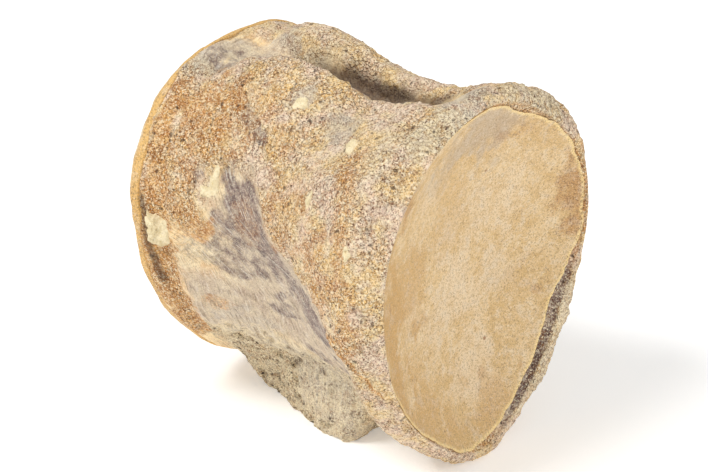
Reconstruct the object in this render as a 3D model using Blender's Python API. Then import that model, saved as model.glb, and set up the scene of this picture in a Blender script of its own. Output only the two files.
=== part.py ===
"""Fossil mosasaur vertebra, life size: one procoelous centrum with the stumps of its broken processes.

The bone is one solid. Its frame has X forward along the centrum (the hollow cotyle faces +X, the
domed condyle faces -X), Y to the animal's left and Z up. Every point of its skin is found from two
numbers: how far back it lies along the centrum, and its place on a clock face seen from the front.
"""
import bpy
import bmesh
import numpy as np

MM = 0.001

# driving dimensions along the centrum, in millimetres
CENTRUM = 59.0  # from the cotyle's lip to the condyle's rim
DISH_DEPTH = 8.5  # the cotyle's hollow
DISH_CURVE = 0.8  # power of its profile; 1 is a parabola
DOME_HEIGHT = 7.5  # the condyle's dome behind its rim
DOME_CURVE = 0.75
DOME_POLE = (-1.5, 5.5)  # the dome's furthest point, left of and above the axis
LIP_WEAR = 3.5  # how far back the worn edge round the cotyle rounds over

# how it lies: level, on the cotyle's lower rim and the broken keel
AXIS_HEIGHT = 35.6  # the axis above the floor

# radii round the clock every 30 degrees, from the bone's left over its top, right side and underside
COTYLE_LIP = (29.0, 30.7, 31.1, 33.6, 33.8, 32.4, 29.4, 28.6, 29.8, 33.2, 28.6, 26.0)
COTYLE_RIM = (31.4, 33.2, 33.7, 36.4, 35.2, 33.6, 31.5, 29.5, 29.9, 36.2, 34.2, 32.0)
CONDYLE_RIM = (26.6, 30.4, 33.3, 31.8, 32.4, 29.9, 26.4, 25.3, 27.2, 31.7, 28.7, 25.4)
WAIST_DEPTH = (5.2, 3.6, 5.6, 2.8, 3.6, 3.9, 5.6, 5.9, 4.8, 2.5, 4.4, 5.2)
WAIST_CURVE = 1.4

# hollow in the left side: its depth, then where it lies and how far it spreads, as u and degrees
LEFT_HOLLOW = 3.8
LEFT_HOLLOW_AT = (0.30, 58.0)
LEFT_HOLLOW_SPREAD = (0.27, 48.0)

# neural canal, an open groove along the top between two stumps of the neural arch
CANAL_CLOCK = 91.0  # degrees from the bone's left
CANAL_FLOOR = 26.0  # height of its floor above the axis at mid length
CANAL_SILLS = (8.0, 4.5)  # how much the floor rises to its front and back ends
CANAL_WALL = (6.0, 13.0)  # degrees either side of its middle where its walls start and end
CANAL_RUN = ((0.04, 0.16), (0.95, 1.0))  # where along u it opens and closes
STUMP_RIGHT = (31.6, 5.0)  # radius of the right stump's crest in front, and its rise further back
STUMP_LEFT = (31.2, 2.6)
STUMP_RUN = ((0.08, 0.22), (0.80, 0.95))
STUMP_INNER = (5.0, 12.0)  # degrees from the canal's middle where a crest rises
STUMP_OUTER = ((30.0, 62.0), (16.0, 36.0))  # and falls, right and left

# scars where the transverse processes broke off
SCAR_CLOCK = (192.0, 0.0)  # right and left
SCAR_HEIGHT = (4.4, 3.6)
SCAR_REACH = (0.16, 0.34, 0.22)  # how far back it goes below, and how much further in two steps upwards
SCAR_ARC = ((-90.0, -40.0), (45.0, 85.0))  # degrees up from its centre where it begins and ends
SCAR_SLOPE = (0.60, 1.25)  # parts of its reach over which it falls away

# broken keel under the centrum, with a flat worn base
KEEL_CLOCK = 269.0
KEEL_BASE = 37.0  # its level below the axis before the floor trims it
KEEL_SPREAD = (21.0, 9.0)  # half angles in front and behind
KEEL_FLANK = (-7.0, 6.0)  # degrees over which its flanks rise
KEEL_RUN = ((0.29, 0.41), (0.80, 0.95))

CREASE_DEPTH = 0.8  # groove round the condyle's articular cap
CREASE_AT = (0.915, 0.05)  # its place along u and half its width
UNEVEN = 0.35  # slow swelling and sinking of the weathered skin

# facets
AROUND = 84
DISH_RINGS = 7
SIDE_RINGS = 30
DOME_RINGS = 7
CANAL_CROWDING = 0.5  # how much closer the facets stand at the canal than opposite it

BONE_COLOUR = (0.55, 0.40, 0.24, 1.0)


def ease(start, end, value):
    """Rise from 0 at start to 1 at end with level ends."""
    t = np.clip((value - start) / (end - start), 0.0, 1.0)
    return t * t * (3.0 - 2.0 * t)


def bump(value, centre, half_width):
    """1 at the centre, easing to 0 at half_width to either side."""
    return 1.0 - ease(0.0, half_width, np.abs(value - centre))


def shelf(value, rise, fall):
    """0, then 1 between the rise and the fall, then 0 again; each is a start and an end."""
    return ease(*rise, value) * (1.0 - ease(*fall, value))


def round_the_clock(radii, clock):
    """Smooth closed curve (Catmull-Rom) through radii spaced evenly round the clock."""
    r = np.asarray(radii)
    place = (clock % 360.0) / 360.0 * len(r)
    first = np.floor(place).astype(int)
    t = place - first
    before, start, end, after = (r[(first + step) % len(r)] for step in (-1, 0, 1, 2))
    return 0.5 * (2 * start + (end - before) * t
                  + (2 * before - 5 * start + 4 * end - after) * t ** 2
                  + (3 * start - before - 3 * end + after) * t ** 3)


def turn_from(clock, centre):
    """Signed angle from centre, from -180 to 180 degrees."""
    return (clock - centre + 180.0) % 360.0 - 180.0


def barrel(u, clock):
    """Centrum's side: the worn edge rounds over to full width, then a waist, then the condyle's rim."""
    lip = round_the_clock(COTYLE_LIP, clock)
    rim = np.maximum(round_the_clock(COTYLE_RIM, clock), lip)
    rounding = np.clip(u * CENTRUM / LIP_WEAR, 0.0, 1.0)
    front = lip + (rim - lip) * np.sqrt(1.0 - (1.0 - rounding) ** 2)
    back = round_the_clock(CONDYLE_RIM, clock)
    waist = round_the_clock(WAIST_DEPTH, clock) * np.sin(np.pi * np.clip(u, 0.0, 1.0)) ** WAIST_CURVE
    (along, round_it), (length, width) = LEFT_HOLLOW_AT, LEFT_HOLLOW_SPREAD
    hollow = LEFT_HOLLOW * bump(u, along, length) * bump(turn_from(clock, round_it), 0.0, width)
    return front + (back - front) * ease(0.0, 1.0, u) - waist - hollow


def process_scars(u, clock):
    """Low rough plateaus behind the rim that reach further back towards the top, one on each side."""
    raised = 0.0
    for side, centre, height in zip((-1, 1), SCAR_CLOCK, SCAR_HEIGHT):
        upward = turn_from(clock, centre) * side
        low, middle, high = SCAR_REACH
        reach = low + middle * ease(0.0, SCAR_ARC[1][0], upward) + high * ease(*SCAR_ARC[1], upward)
        fall = 1.0 - ease(*SCAR_SLOPE, u / reach)
        raised = raised + height * (0.5 + reach) * shelf(upward, *SCAR_ARC) * ease(0.0, 0.12, u) * fall
    return raised


def neural_canal(u, clock, r):
    """Two stumps grow to their crests, and the groove between them is cut down to its floor."""
    aside = turn_from(clock, CANAL_CLOCK)
    along = shelf(u, *STUMP_RUN)
    knoll = shelf(u, (0.30, 0.52), (0.58, 0.92)) * (1.0 - ease(14.0, 44.0, aside))
    right = STUMP_RIGHT[0] + STUMP_RIGHT[1] * knoll
    left = STUMP_LEFT[0] + STUMP_LEFT[1] * ease(0.40, 0.66, u)
    r = r + np.maximum(right - r, 0.0) * shelf(aside, STUMP_INNER, STUMP_OUTER[0]) * along
    r = r + np.maximum(left - r, 0.0) * shelf(-aside, STUMP_INNER, STUMP_OUTER[1]) * along
    sills = CANAL_SILLS[0] * (1.0 - ease(0.03, 0.34, u)) + CANAL_SILLS[1] * ease(0.62, 1.0, u)
    floor = (CANAL_FLOOR + sills) / np.maximum(np.sin(np.radians(clock)), 0.3)
    opened = 1.0 - ease(*CANAL_WALL, np.abs(aside))
    return r - np.maximum(r - floor, 0.0) * opened * shelf(u, *CANAL_RUN)


def keel(u, clock, r):
    """Stump under the centrum, wide in front and narrow behind, down to a level base."""
    aside = turn_from(clock, KEEL_CLOCK)
    spread = KEEL_SPREAD[0] + (KEEL_SPREAD[1] - KEEL_SPREAD[0]) * ease(0.45, 0.85, u)
    inside = 1.0 - ease(*KEEL_FLANK, np.abs(aside) - spread)
    base = KEEL_BASE / np.cos(np.radians(np.clip(aside, -60.0, 60.0)))
    return r + np.maximum(base - r, 0.0) * inside * shelf(u, *KEEL_RUN)


def side_radius(u, clock):
    """Distance of the side's skin from the axis."""
    r = barrel(u, clock) + process_scars(u, clock)
    r = neural_canal(u, clock, r)
    r = keel(u, clock, r)
    angle = np.radians(clock)
    waves = np.sin(3 * angle + 9 * u) * np.sin(5 * u + 1.0) + np.sin(7 * angle - 6 * u + 2.0) * np.cos(11 * u)
    r = r + UNEVEN * waves * np.sin(np.pi * u)
    return r - CREASE_DEPTH * bump(u, *CREASE_AT)


def ring(x, radius, clock):
    """One ring of points round the axis."""
    angle = np.radians(clock)
    return np.stack([np.full_like(radius, x), radius * np.cos(angle), radius * np.sin(angle)], axis=-1)


def skin():
    """All rings from the middle of the cotyle, over its lip and along the side, to the condyle's pole."""
    step = np.arange(AROUND) / AROUND * 2.0 * np.pi
    clock = np.degrees(step - CANAL_CROWDING * np.sin(step - np.radians(CANAL_CLOCK)))
    front, back = CENTRUM / 2.0, -CENTRUM / 2.0
    lip = side_radius(0.0, clock)
    rings = []
    for reach in np.sin(np.linspace(0.0, np.pi / 2.0, DISH_RINGS + 1))[:-1]:
        rings.append(ring(front - DISH_DEPTH * (1.0 - reach ** 2) ** DISH_CURVE, lip * reach, clock))
    even = np.linspace(0.0, 1.0, SIDE_RINGS)
    for u in 0.45 * even + 0.55 * 0.5 * (1.0 - np.cos(np.pi * even)):
        rings.append(ring(front - CENTRUM * u, side_radius(u, clock), clock))
    rim = side_radius(1.0, clock)
    for reach in np.sin(np.linspace(np.pi / 2.0, 0.0, DOME_RINGS + 1))[1:]:
        rise = 1.0 - reach ** 2
        points = ring(back - DOME_HEIGHT * rise ** DOME_CURVE, rim * reach, clock)
        rings.append(points + rise * np.array([0.0, *DOME_POLE]))
    return np.array(rings)


def settle(points):
    """Stand the bone on the floor, trim what would sink below it to small flats, and centre it."""
    low, high = points.min(axis=(0, 1)), points.max(axis=(0, 1))
    points = points - [(low[0] + high[0]) / 2.0, (low[1] + high[1]) / 2.0, -AXIS_HEIGHT]
    points[..., 2] = np.maximum(points[..., 2], 0.0)
    return points


def closed_mesh(name, rings):
    """Skin the rings with quads, and close both ends with fans of triangles round a pole."""
    count, around = rings.shape[:2]
    inner = rings[1:-1].reshape(-1, 3)
    mesh = bmesh.new()
    vertices = [mesh.verts.new(point * MM) for point in inner]
    front_pole = mesh.verts.new(rings[0, 0] * MM)
    back_pole = mesh.verts.new(rings[-1, 0] * MM)
    last = (count - 3) * around
    for i in range(around):
        j = (i + 1) % around
        mesh.faces.new((front_pole, vertices[i], vertices[j]))
        mesh.faces.new((back_pole, vertices[last + j], vertices[last + i]))
        for row in range(0, last, around):
            mesh.faces.new((vertices[row + i], vertices[row + around + i],
                            vertices[row + around + j], vertices[row + j]))
    bmesh.ops.triangulate(mesh, faces=mesh.faces[:])
    bmesh.ops.recalc_face_normals(mesh, faces=mesh.faces[:])
    data = bpy.data.meshes.new(name)
    mesh.to_mesh(data)
    mesh.free()
    data.shade_smooth()
    return data


def bone_material():
    """Tan mineralised bone."""
    material = bpy.data.materials.new("fossil_bone")
    material.use_nodes = True
    shader = material.node_tree.nodes["Principled BSDF"]
    shader.inputs["Base Color"].default_value = BONE_COLOUR
    shader.inputs["Roughness"].default_value = 0.7
    shader.inputs["Metallic"].default_value = 0.0
    return material


def main():
    for leftover in list(bpy.data.objects):
        bpy.data.objects.remove(leftover)
    points = settle(skin())
    data = closed_mesh("vertebra", points)
    data.materials.append(bone_material())
    bone = bpy.data.objects.new("vertebra", data)
    bpy.context.scene.collection.objects.link(bone)
    low, high = points.reshape(-1, 3).min(axis=0), points.reshape(-1, 3).max(axis=0)
    print("vertebra", np.round(high - low, 1), "mm,", len(data.polygons), "triangles")


main()
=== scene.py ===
# %% [markdown]
# # A fossil vertebra, grown from two numbers
# This lesson dresses one bone: a vertebra of a mosasaur, a sea lizard of the Cretaceous. It is hollow
# in front and domed behind, like a ball and socket, and its processes broke off long ago.
# Every point of its skin is found from two numbers, so the shape could be sculpted by hand, but
# here it is worked out with arrays. That keeps each bump named, and it can be changed later.

# %% Loading the frame
from types import SimpleNamespace

import bpy
import numpy as np
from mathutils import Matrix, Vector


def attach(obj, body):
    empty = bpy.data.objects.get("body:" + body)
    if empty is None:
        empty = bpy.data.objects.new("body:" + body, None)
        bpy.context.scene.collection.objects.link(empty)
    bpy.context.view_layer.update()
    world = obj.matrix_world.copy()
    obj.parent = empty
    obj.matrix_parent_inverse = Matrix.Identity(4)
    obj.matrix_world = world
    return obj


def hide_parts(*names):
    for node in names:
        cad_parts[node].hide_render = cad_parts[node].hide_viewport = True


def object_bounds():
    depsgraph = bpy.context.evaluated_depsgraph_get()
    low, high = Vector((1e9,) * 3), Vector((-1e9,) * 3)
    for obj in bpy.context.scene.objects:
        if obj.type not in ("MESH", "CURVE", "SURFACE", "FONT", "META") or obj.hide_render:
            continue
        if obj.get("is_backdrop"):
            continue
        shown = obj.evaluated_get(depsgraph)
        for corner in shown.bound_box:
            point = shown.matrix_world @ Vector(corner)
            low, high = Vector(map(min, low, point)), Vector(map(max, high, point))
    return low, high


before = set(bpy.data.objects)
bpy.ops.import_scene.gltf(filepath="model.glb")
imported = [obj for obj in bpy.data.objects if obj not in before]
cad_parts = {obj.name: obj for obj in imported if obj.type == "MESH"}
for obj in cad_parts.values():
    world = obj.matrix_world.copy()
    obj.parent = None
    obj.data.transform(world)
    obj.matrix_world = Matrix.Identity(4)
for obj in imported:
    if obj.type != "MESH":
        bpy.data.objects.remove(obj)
cad_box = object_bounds()
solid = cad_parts["vertebra"]
MM = 0.001
print("solid to dress:", solid.name, "with", len(solid.data.polygons), "triangles")

# %% [markdown]
# ## The camera
# The photograph looks down on the bone from its right and front. The camera is placed by the three
# directions that its picture has: right, up and towards the viewer. Placing it by turning it by hand
# would work too, but then the bone's own axis wouldn't fall on the right line of pixels.

# %% The camera
SIDE_TURN, LOOK_DOWN = np.radians(39.0), np.radians(26.0)
VIEW_DISTANCE = 0.480
LENS, FILM = 135.6, 36.0
AIM = np.array([0.00375, 0.00068, 0.0356])
AIM_SHIFT = 0.00083

to_viewer = np.array([np.sin(SIDE_TURN) * np.cos(LOOK_DOWN), -np.cos(SIDE_TURN) * np.cos(LOOK_DOWN),
                      np.sin(LOOK_DOWN)])
to_right = np.array([np.cos(SIDE_TURN), np.sin(SIDE_TURN), 0.0])
to_top = np.cross(to_viewer, to_right)

camera_data = bpy.data.cameras.new("camera")
camera_data.lens = LENS
camera_data.sensor_width = FILM
camera = bpy.data.objects.new("camera", camera_data)
pose = np.eye(4)
pose[:3, 0], pose[:3, 1], pose[:3, 2] = to_right, to_top, to_viewer
pose[:3, 3] = AIM - AIM_SHIFT * to_right + VIEW_DISTANCE * to_viewer
camera.matrix_world = pose.T.tolist()
bpy.context.scene.collection.objects.link(camera)
bpy.context.scene.camera = camera
print("camera stands at", np.round(pose[:3, 3], 3), "m")

# %% [markdown]
# ## Curves that rise and fall
# Bone has no corners, so each feature fades in and out. Three small curves do all of this. A spline
# or a falloff brush would do the same, but these stay readable as numbers.

# %% Easing curves
def ease(start, end, value):
    """Rises from 0 at start to 1 at end, level at both: t squared times (3 less 2 t)."""
    t = np.clip((value - start) / (end - start), 0.0, 1.0)
    return t * t * (3.0 - 2.0 * t)


def bump(value, centre, half_width):
    """1 at the centre and 0 from half_width away, eased between."""
    return 1.0 - ease(0.0, half_width, np.abs(value - centre))


def shelf(value, rise, fall):
    """0, then 1 between the rise and the fall, then 0; each is a start and an end."""
    return ease(*rise, value) * (1.0 - ease(*fall, value))


def turn_from(clock, centre):
    """The signed angle from centre, from -180 to 180 degrees."""
    return (clock - centre + 180.0) % 360.0 - 180.0


# %% [markdown]
# ## Noise that never changes
# Weathering looks random, but the bone has to be the same each time. So the noise comes from sums on
# whole numbers: every corner of a lattice gets a fixed number, and the space between is blended.
# Blender's own noise would do inside a material, but here it has to move the mesh.

# %% Lattice noise
def scramble(i, j, k, seed):
    """A fixed number from 0 to 1 for the cell (i, j, k): its indices are multiplied and folded."""
    mixed = ((i * 73856093) ^ (j * 19349663) ^ (k * 83492791) ^ (seed * 40503)) & 0xFFFFFFFF
    for shift, factor in ((13, 1274126177), (16, 1103515245), (15, 22695477)):
        mixed = ((mixed ^ (mixed >> shift)) * factor) & 0xFFFFFFFF
    return (mixed ^ (mixed >> 16)) / 0xFFFFFFFF


def noise(points, size, seed):
    """Blends the fixed numbers at the corners of cubes `size` mm wide; the result is from -1 to 1."""
    place = points / size
    cell = np.floor(place).astype(np.int64)
    t = place - cell
    t = t * t * (3.0 - 2.0 * t)
    total = 0.0
    for di in (0, 1):
        for dj in (0, 1):
            for dk in (0, 1):
                weight = ((t[..., 0] if di else 1.0 - t[..., 0]) * (t[..., 1] if dj else 1.0 - t[..., 1])
                          * (t[..., 2] if dk else 1.0 - t[..., 2]))
                total = total + weight * scramble(cell[..., 0] + di, cell[..., 1] + dj,
                                                  cell[..., 2] + dk, seed)
    return 2.0 * total - 1.0


def rough(points, size, seed, layers=4, keep=0.55):
    """Noise on noise: each layer is half the size of the one before and `keep` times its height."""
    total, height = 0.0, 1.0
    for layer in range(layers):
        total = total + height * noise(points, size / 2 ** layer, seed + 17 * layer)
        height *= keep
    return total


def cells(points, size, seed):
    """Distance to the nearest of many scattered points, one in each cube, in parts of the cube's
    width, and that point's own number from 0 to 1."""
    place = points / size
    cell = np.floor(place).astype(np.int64)
    nearest = np.full(points.shape[:-1], 9.0)
    own = np.zeros(points.shape[:-1])
    for step in np.ndindex(3, 3, 3):
        home = cell + np.array(step) - 1
        i, j, k = home[..., 0], home[..., 1], home[..., 2]
        seat = home + np.stack([scramble(i, j, k, seed + n) for n in (1, 2, 3)], axis=-1)
        distance = np.linalg.norm(seat - place, axis=-1)
        closer = distance < nearest
        nearest = np.where(closer, distance, nearest)
        own = np.where(closer, scramble(i, j, k, seed + 4), own)
    return nearest, own


# %% [markdown]
# ## The bone's form
# The centrum is a barrel. One number, u, runs from 0 at the lip of the hollow face to 1 at the rim of
# the dome. The other, the clock angle, runs from the bone's left over its top and right side to its
# underside. The skin's distance from the axis is a sum of parts that a collector would name: barrel,
# process scars, neural canal, keel. It could be pushed out of a cylinder with modifiers, but then the
# stains and grain that follow wouldn't know where the scars are.

# %% Sizes of the bone in millimetres
CENTRUM = 59.0
DISH_DEPTH, DOME_HEIGHT = 8.5, 7.5
DOME_POLE = np.array([0.0, -1.5, 5.5])
LIP_WEAR = 3.5
AXIS_HEIGHT = 35.6
COTYLE_LIP = (29.0, 30.7, 31.1, 33.6, 33.8, 32.4, 29.4, 28.6, 29.8, 33.2, 28.6, 26.0)
COTYLE_RIM = (31.4, 33.2, 33.7, 36.4, 35.2, 33.6, 31.5, 29.5, 29.9, 36.2, 34.2, 32.0)
CONDYLE_RIM = (26.6, 30.4, 33.3, 31.8, 32.4, 29.9, 26.4, 25.3, 27.2, 31.7, 28.7, 25.4)
WAIST_DEPTH = (5.2, 3.6, 5.6, 2.8, 3.6, 3.9, 5.6, 5.9, 4.8, 2.5, 4.4, 5.2)
CANAL_CLOCK, CANAL_FLOOR, CANAL_SILLS = 91.0, 26.0, (8.0, 4.5)
STUMP_RIGHT, STUMP_LEFT = (31.6, 5.0), (31.2, 2.6)
SCAR_CLOCK, SCAR_HEIGHT = (192.0, 0.0), (4.4, 3.6)
KEEL_CLOCK, KEEL_BASE, KEEL_SPREAD = 269.0, 37.0, (21.0, 9.0)
CREASE_DEPTH = 0.8
LEFT_HOLLOW = 3.8
UNEVEN = 0.35


# %% Barrel, scars, canal and keel
def round_the_clock(radii, clock):
    """A smooth closed curve (Catmull-Rom) through radii spaced evenly round the clock."""
    r = np.asarray(radii)
    place = (clock % 360.0) / 360.0 * len(r)
    first = np.floor(place).astype(int)
    t = place - first
    before, start, end, after = (r[(first + step) % len(r)] for step in (-1, 0, 1, 2))
    return 0.5 * (2 * start + (end - before) * t + (2 * before - 5 * start + 4 * end - after) * t ** 2
                  + (3 * start - before - 3 * end + after) * t ** 3)


def barrel(u, clock):
    """The lip's worn edge rounds over to full width, then the width eases to the dome's rim, less a
    waist that follows a half sine wave and a hollow high on the left."""
    lip = round_the_clock(COTYLE_LIP, clock)
    rim = np.maximum(round_the_clock(COTYLE_RIM, clock), lip)
    rounding = np.clip(u * CENTRUM / LIP_WEAR, 0.0, 1.0)
    front = lip + (rim - lip) * np.sqrt(1.0 - (1.0 - rounding) ** 2)
    back = round_the_clock(CONDYLE_RIM, clock)
    waist = round_the_clock(WAIST_DEPTH, clock) * np.sin(np.pi * np.clip(u, 0, 1)) ** 1.4
    left_hollow = LEFT_HOLLOW * bump(u, 0.30, 0.27) * bump(turn_from(clock, 58.0), 0.0, 48.0)
    return front + (back - front) * ease(0.0, 1.0, u) - waist - left_hollow


def process_scars(u, clock):
    """Where the side processes broke off: a low plateau on each side that reaches further back
    towards the top and falls away at its edge."""
    raised = 0.0
    for side, centre, height in zip((-1, 1), SCAR_CLOCK, SCAR_HEIGHT):
        upward = turn_from(clock, centre) * side
        reach = 0.16 + 0.34 * ease(0.0, 42.0, upward) + 0.22 * ease(45.0, 85.0, upward)
        across = shelf(upward, (-90.0, -40.0), (45.0, 85.0))
        fall = 1.0 - ease(0.60, 1.25, u / reach)
        raised = raised + height * (0.5 + reach) * across * ease(0.0, 0.12, u) * fall
    return raised


def neural_canal(u, clock, r):
    """Two stumps grow to their crests, and the groove between them is cut down to its floor."""
    aside = turn_from(clock, CANAL_CLOCK)
    along = shelf(u, (0.08, 0.22), (0.80, 0.95))
    knoll = shelf(u, (0.30, 0.52), (0.58, 0.92)) * (1.0 - ease(14.0, 44.0, aside))
    right = STUMP_RIGHT[0] + STUMP_RIGHT[1] * knoll
    left = STUMP_LEFT[0] + STUMP_LEFT[1] * ease(0.40, 0.66, u)
    r = r + np.maximum(right - r, 0.0) * shelf(aside, (5.0, 12.0), (30.0, 62.0)) * along
    r = r + np.maximum(left - r, 0.0) * shelf(-aside, (5.0, 12.0), (16.0, 36.0)) * along
    sills = CANAL_SILLS[0] * (1.0 - ease(0.03, 0.34, u)) + CANAL_SILLS[1] * ease(0.62, 1.0, u)
    floor = (CANAL_FLOOR + sills) / np.maximum(np.sin(np.radians(clock)), 0.3)
    opened = 1.0 - ease(6.0, 13.0, np.abs(aside))
    return r - np.maximum(r - floor, 0.0) * opened * shelf(u, (0.04, 0.16), (0.95, 1.0))


def keel(u, clock, r):
    """A stump under the centrum, wide in front and narrow behind, down to a level base."""
    aside = turn_from(clock, KEEL_CLOCK)
    spread = KEEL_SPREAD[0] + (KEEL_SPREAD[1] - KEEL_SPREAD[0]) * ease(0.45, 0.85, u)
    inside = 1.0 - ease(-7.0, 6.0, np.abs(aside) - spread)
    base = KEEL_BASE / np.cos(np.radians(np.clip(aside, -60.0, 60.0)))
    return r + np.maximum(base - r, 0.0) * inside * shelf(u, (0.29, 0.41), (0.80, 0.95))


def side_radius(u, clock):
    """Distance of the skin from the axis: barrel and scars, then canal, keel, slow waves, crease."""
    r = barrel(u, clock) + process_scars(u, clock)
    r = keel(u, clock, neural_canal(u, clock, r))
    angle = np.radians(clock)
    waves = (np.sin(3 * angle + 9 * u) * np.sin(5 * u + 1.0)
             + np.sin(7 * angle - 6 * u + 2.0) * np.cos(11 * u))
    return r + UNEVEN * waves * np.sin(np.pi * u) - CREASE_DEPTH * bump(u, 0.915, 0.05)


def on_ring(x, radius, clock):
    """Points round the axis: x along it, and the radius split by the clock angle's cosine and sine."""
    angle = np.radians(clock)
    return np.stack([x + 0.0 * radius, radius * np.cos(angle), radius * np.sin(angle)], axis=-1)


def side_skin(u, clock):
    """The barrel's side as points, from the front lip backwards."""
    return on_ring(CENTRUM * (0.5 - u), side_radius(u, clock), clock)


def dish_skin(reach, clock):
    """The hollow face: reach runs from 0 in the middle to 1 at the lip, and the depth follows
    (1 less reach squared) to the power 0.8."""
    x = CENTRUM / 2.0 - DISH_DEPTH * np.clip(1.0 - reach ** 2, 0.0, 1.0) ** 0.8
    return on_ring(x, side_radius(0.0 * clock, clock) * reach, clock)


def dome_skin(reach, clock):
    """The domed face: reach runs from 1 at its rim to 0 at the pole, which stands off the axis."""
    rise = np.clip(1.0 - reach ** 2, 0.0, 1.0)
    x = -CENTRUM / 2.0 - DOME_HEIGHT * rise ** 0.75
    return on_ring(x, side_radius(0.0 * clock + 1.0, clock) * reach, clock) + rise[..., None] * DOME_POLE


# %% [markdown]
# ## Where the bone stands
# The solid was centred on its box and stands on the floor, so the skin gets the same shift. It is
# measured from the same functions, on a coarse grid, and printed next to the solid's box.

# %% The shift from the bone's axis to the floor
u_coarse, clock_coarse = np.meshgrid(np.linspace(0, 1, 60), np.arange(0, 360, 3.0), indexing="ij")
coarse = np.concatenate([side_skin(u_coarse, clock_coarse), dome_skin(u_coarse, clock_coarse)])
low, high = coarse.min(axis=(0, 1)), coarse.max(axis=(0, 1))
SHIFT = np.array([-(low[0] + high[0]) / 2.0, -(low[1] + high[1]) / 2.0, AXIS_HEIGHT])
print("shift", np.round(SHIFT, 2), "mm; solid's box in mm", np.round(np.array(cad_box) / MM, 1).tolist())

# %% [markdown]
# ## Grids, normals and closed meshes
# A closed mesh is a stack of rings whose two ends shrink to a pole. Relief moves each point along the
# skin's own direction, which is the cross product of the steps along and round the grid.

# %% Grid helpers
AROUND = 440
EVEN_SHARE = 0.3
fine = np.arange(0.0, 360.0, 0.05)
girths = [side_skin(0.0 * fine + level, fine) for level in (0.30, 0.45, 0.60)]
steps = sum(np.linalg.norm(np.roll(girth, -1, axis=0) - girth, axis=-1) for girth in girths)
steps = steps / steps.mean() + EVEN_SHARE
way_round = np.concatenate([[0.0], np.cumsum(steps)])


def clock_grid(rows, around=AROUND):
    """Clock angles for every ring, spaced evenly by the distance round the skin, so that the canal's
    steep walls get as many columns as the rest."""
    stops = np.arange(around) / around * way_round[-1]
    return np.broadcast_to(np.interp(stops, way_round, np.append(fine, 360.0)), (rows, around)).copy()


def outward(points):
    """Unit normals of a ring grid: the step round it crossed with the step back along it."""
    along = np.gradient(points, axis=0)
    around = np.roll(points, -1, axis=1) - np.roll(points, 1, axis=1)
    normal = np.cross(along, around)
    return normal / np.maximum(np.linalg.norm(normal, axis=-1, keepdims=True), 1e-9)


def closed_piece(name, rings, marks=None):
    """Stands the rings on the floor, skins them with quads, closes both ends with fans round a pole,
    and keeps each mark as a number on the points."""
    rows, around = rings.shape[:2]
    rings = rings + SHIFT
    rings[..., 2] = np.maximum(rings[..., 2], 0.0)

    def flatten(values):
        """All rings but the first and last in one list, then the middles of those two as poles."""
        ends = [values[0].mean(axis=0)[None], values[-1].mean(axis=0)[None]]
        return np.concatenate([values[1:-1].reshape(-1, *values.shape[2:])] + ends)

    points = flatten(rings) * MM
    row, column = np.meshgrid(np.arange(rows - 3), np.arange(around), indexing="ij")
    here, beside = row * around + column, row * around + (column + 1) % around
    quads = np.stack([here, here + around, beside + around, beside], axis=-1).reshape(-1, 4)
    first = np.arange(around)
    second = (first + 1) % around
    last = (rows - 3) * around
    front_pole, back_pole = len(points) - 2, len(points) - 1
    fans = np.concatenate([np.stack([0 * first + front_pole, first, second], axis=-1),
                           np.stack([0 * first + back_pole, last + second, last + first], axis=-1)])
    corners = np.concatenate([quads.ravel(), fans.ravel()])
    starts = np.concatenate([4 * np.arange(len(quads)), 4 * len(quads) + 3 * np.arange(len(fans))])
    mesh = bpy.data.meshes.new(name)
    mesh.vertices.add(len(points))
    mesh.vertices.foreach_set("co", points.ravel())
    mesh.loops.add(len(corners))
    mesh.loops.foreach_set("vertex_index", corners.astype(np.int32))
    mesh.polygons.add(len(starts))
    mesh.polygons.foreach_set("loop_start", starts.astype(np.int32))
    mesh.update(calc_edges=True)
    mesh.shade_smooth()
    for mark, values in (marks or {}).items():
        attribute = mesh.attributes.new(mark, "FLOAT", "POINT")
        attribute.data.foreach_set("value", flatten(values).astype(np.float32))
    piece = bpy.data.objects.new(name, mesh)
    bpy.context.scene.collection.objects.link(piece)
    print(name, "has", 2 * len(quads) + len(fans), "triangles")
    return piece


# %% [markdown]
# ## Where each finish grows
# A fossil's colours follow its surfaces. Broken scars took up rust, the smooth outer cortex went grey
# and mauve, and the worn edges are pale. Each stain is an oval or a streak at a place on the skin,
# given by u and the clock angle, with an edge that noise makes ragged. Painting them by hand would be
# as good, but a short table shows what lies where. The far side gets the same kinds of stain, at
# places of its own.

# %% Ovals and streaks on the skin
MM_PER_DEGREE = 0.54


def oval(u, clock, centre, size, lean=0.0, ragged=0.0):
    """1 inside an oval of half sizes `size`, in mm along and round, turned by `lean` degrees; the
    edge fades where the reach, made ragged by noise, passes 1."""
    along = (u - centre[0]) * CENTRUM
    across = turn_from(clock, centre[1]) * MM_PER_DEGREE
    c, s = np.cos(np.radians(lean)), np.sin(np.radians(lean))
    reach = np.hypot((along * c + across * s) / size[0], (across * c - along * s) / size[1])
    return 1.0 - ease(0.55, 1.15, reach + ragged)


def streak(u, clock, path, width, ragged=0.0):
    """1 along a path of (u, clock) places and 0 from `width` mm beside it: the distance to the
    nearest of its straight pieces."""
    nearest = np.full(u.shape, 99.0)
    for (u0, clock0), (u1, clock1) in zip(path[:-1], path[1:]):
        step = np.array([(u1 - u0) * CENTRUM, turn_from(clock1, clock0) * MM_PER_DEGREE])
        point = np.stack([(u - u0) * CENTRUM, turn_from(clock, clock0) * MM_PER_DEGREE], axis=-1)
        share = np.clip((point @ step) / (step @ step), 0.0, 1.0)
        nearest = np.minimum(nearest, np.linalg.norm(point - share[..., None] * step, axis=-1))
    return 1.0 - ease(0.35, 1.1, nearest / width + ragged)


def folded(clock):
    """The clock angle seen in the mirror plane, so the left side reads as the right: 90 to 270."""
    return np.where(np.cos(np.radians(clock)) < 0.0, clock % 360.0, (180.0 - clock) % 360.0)


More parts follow.
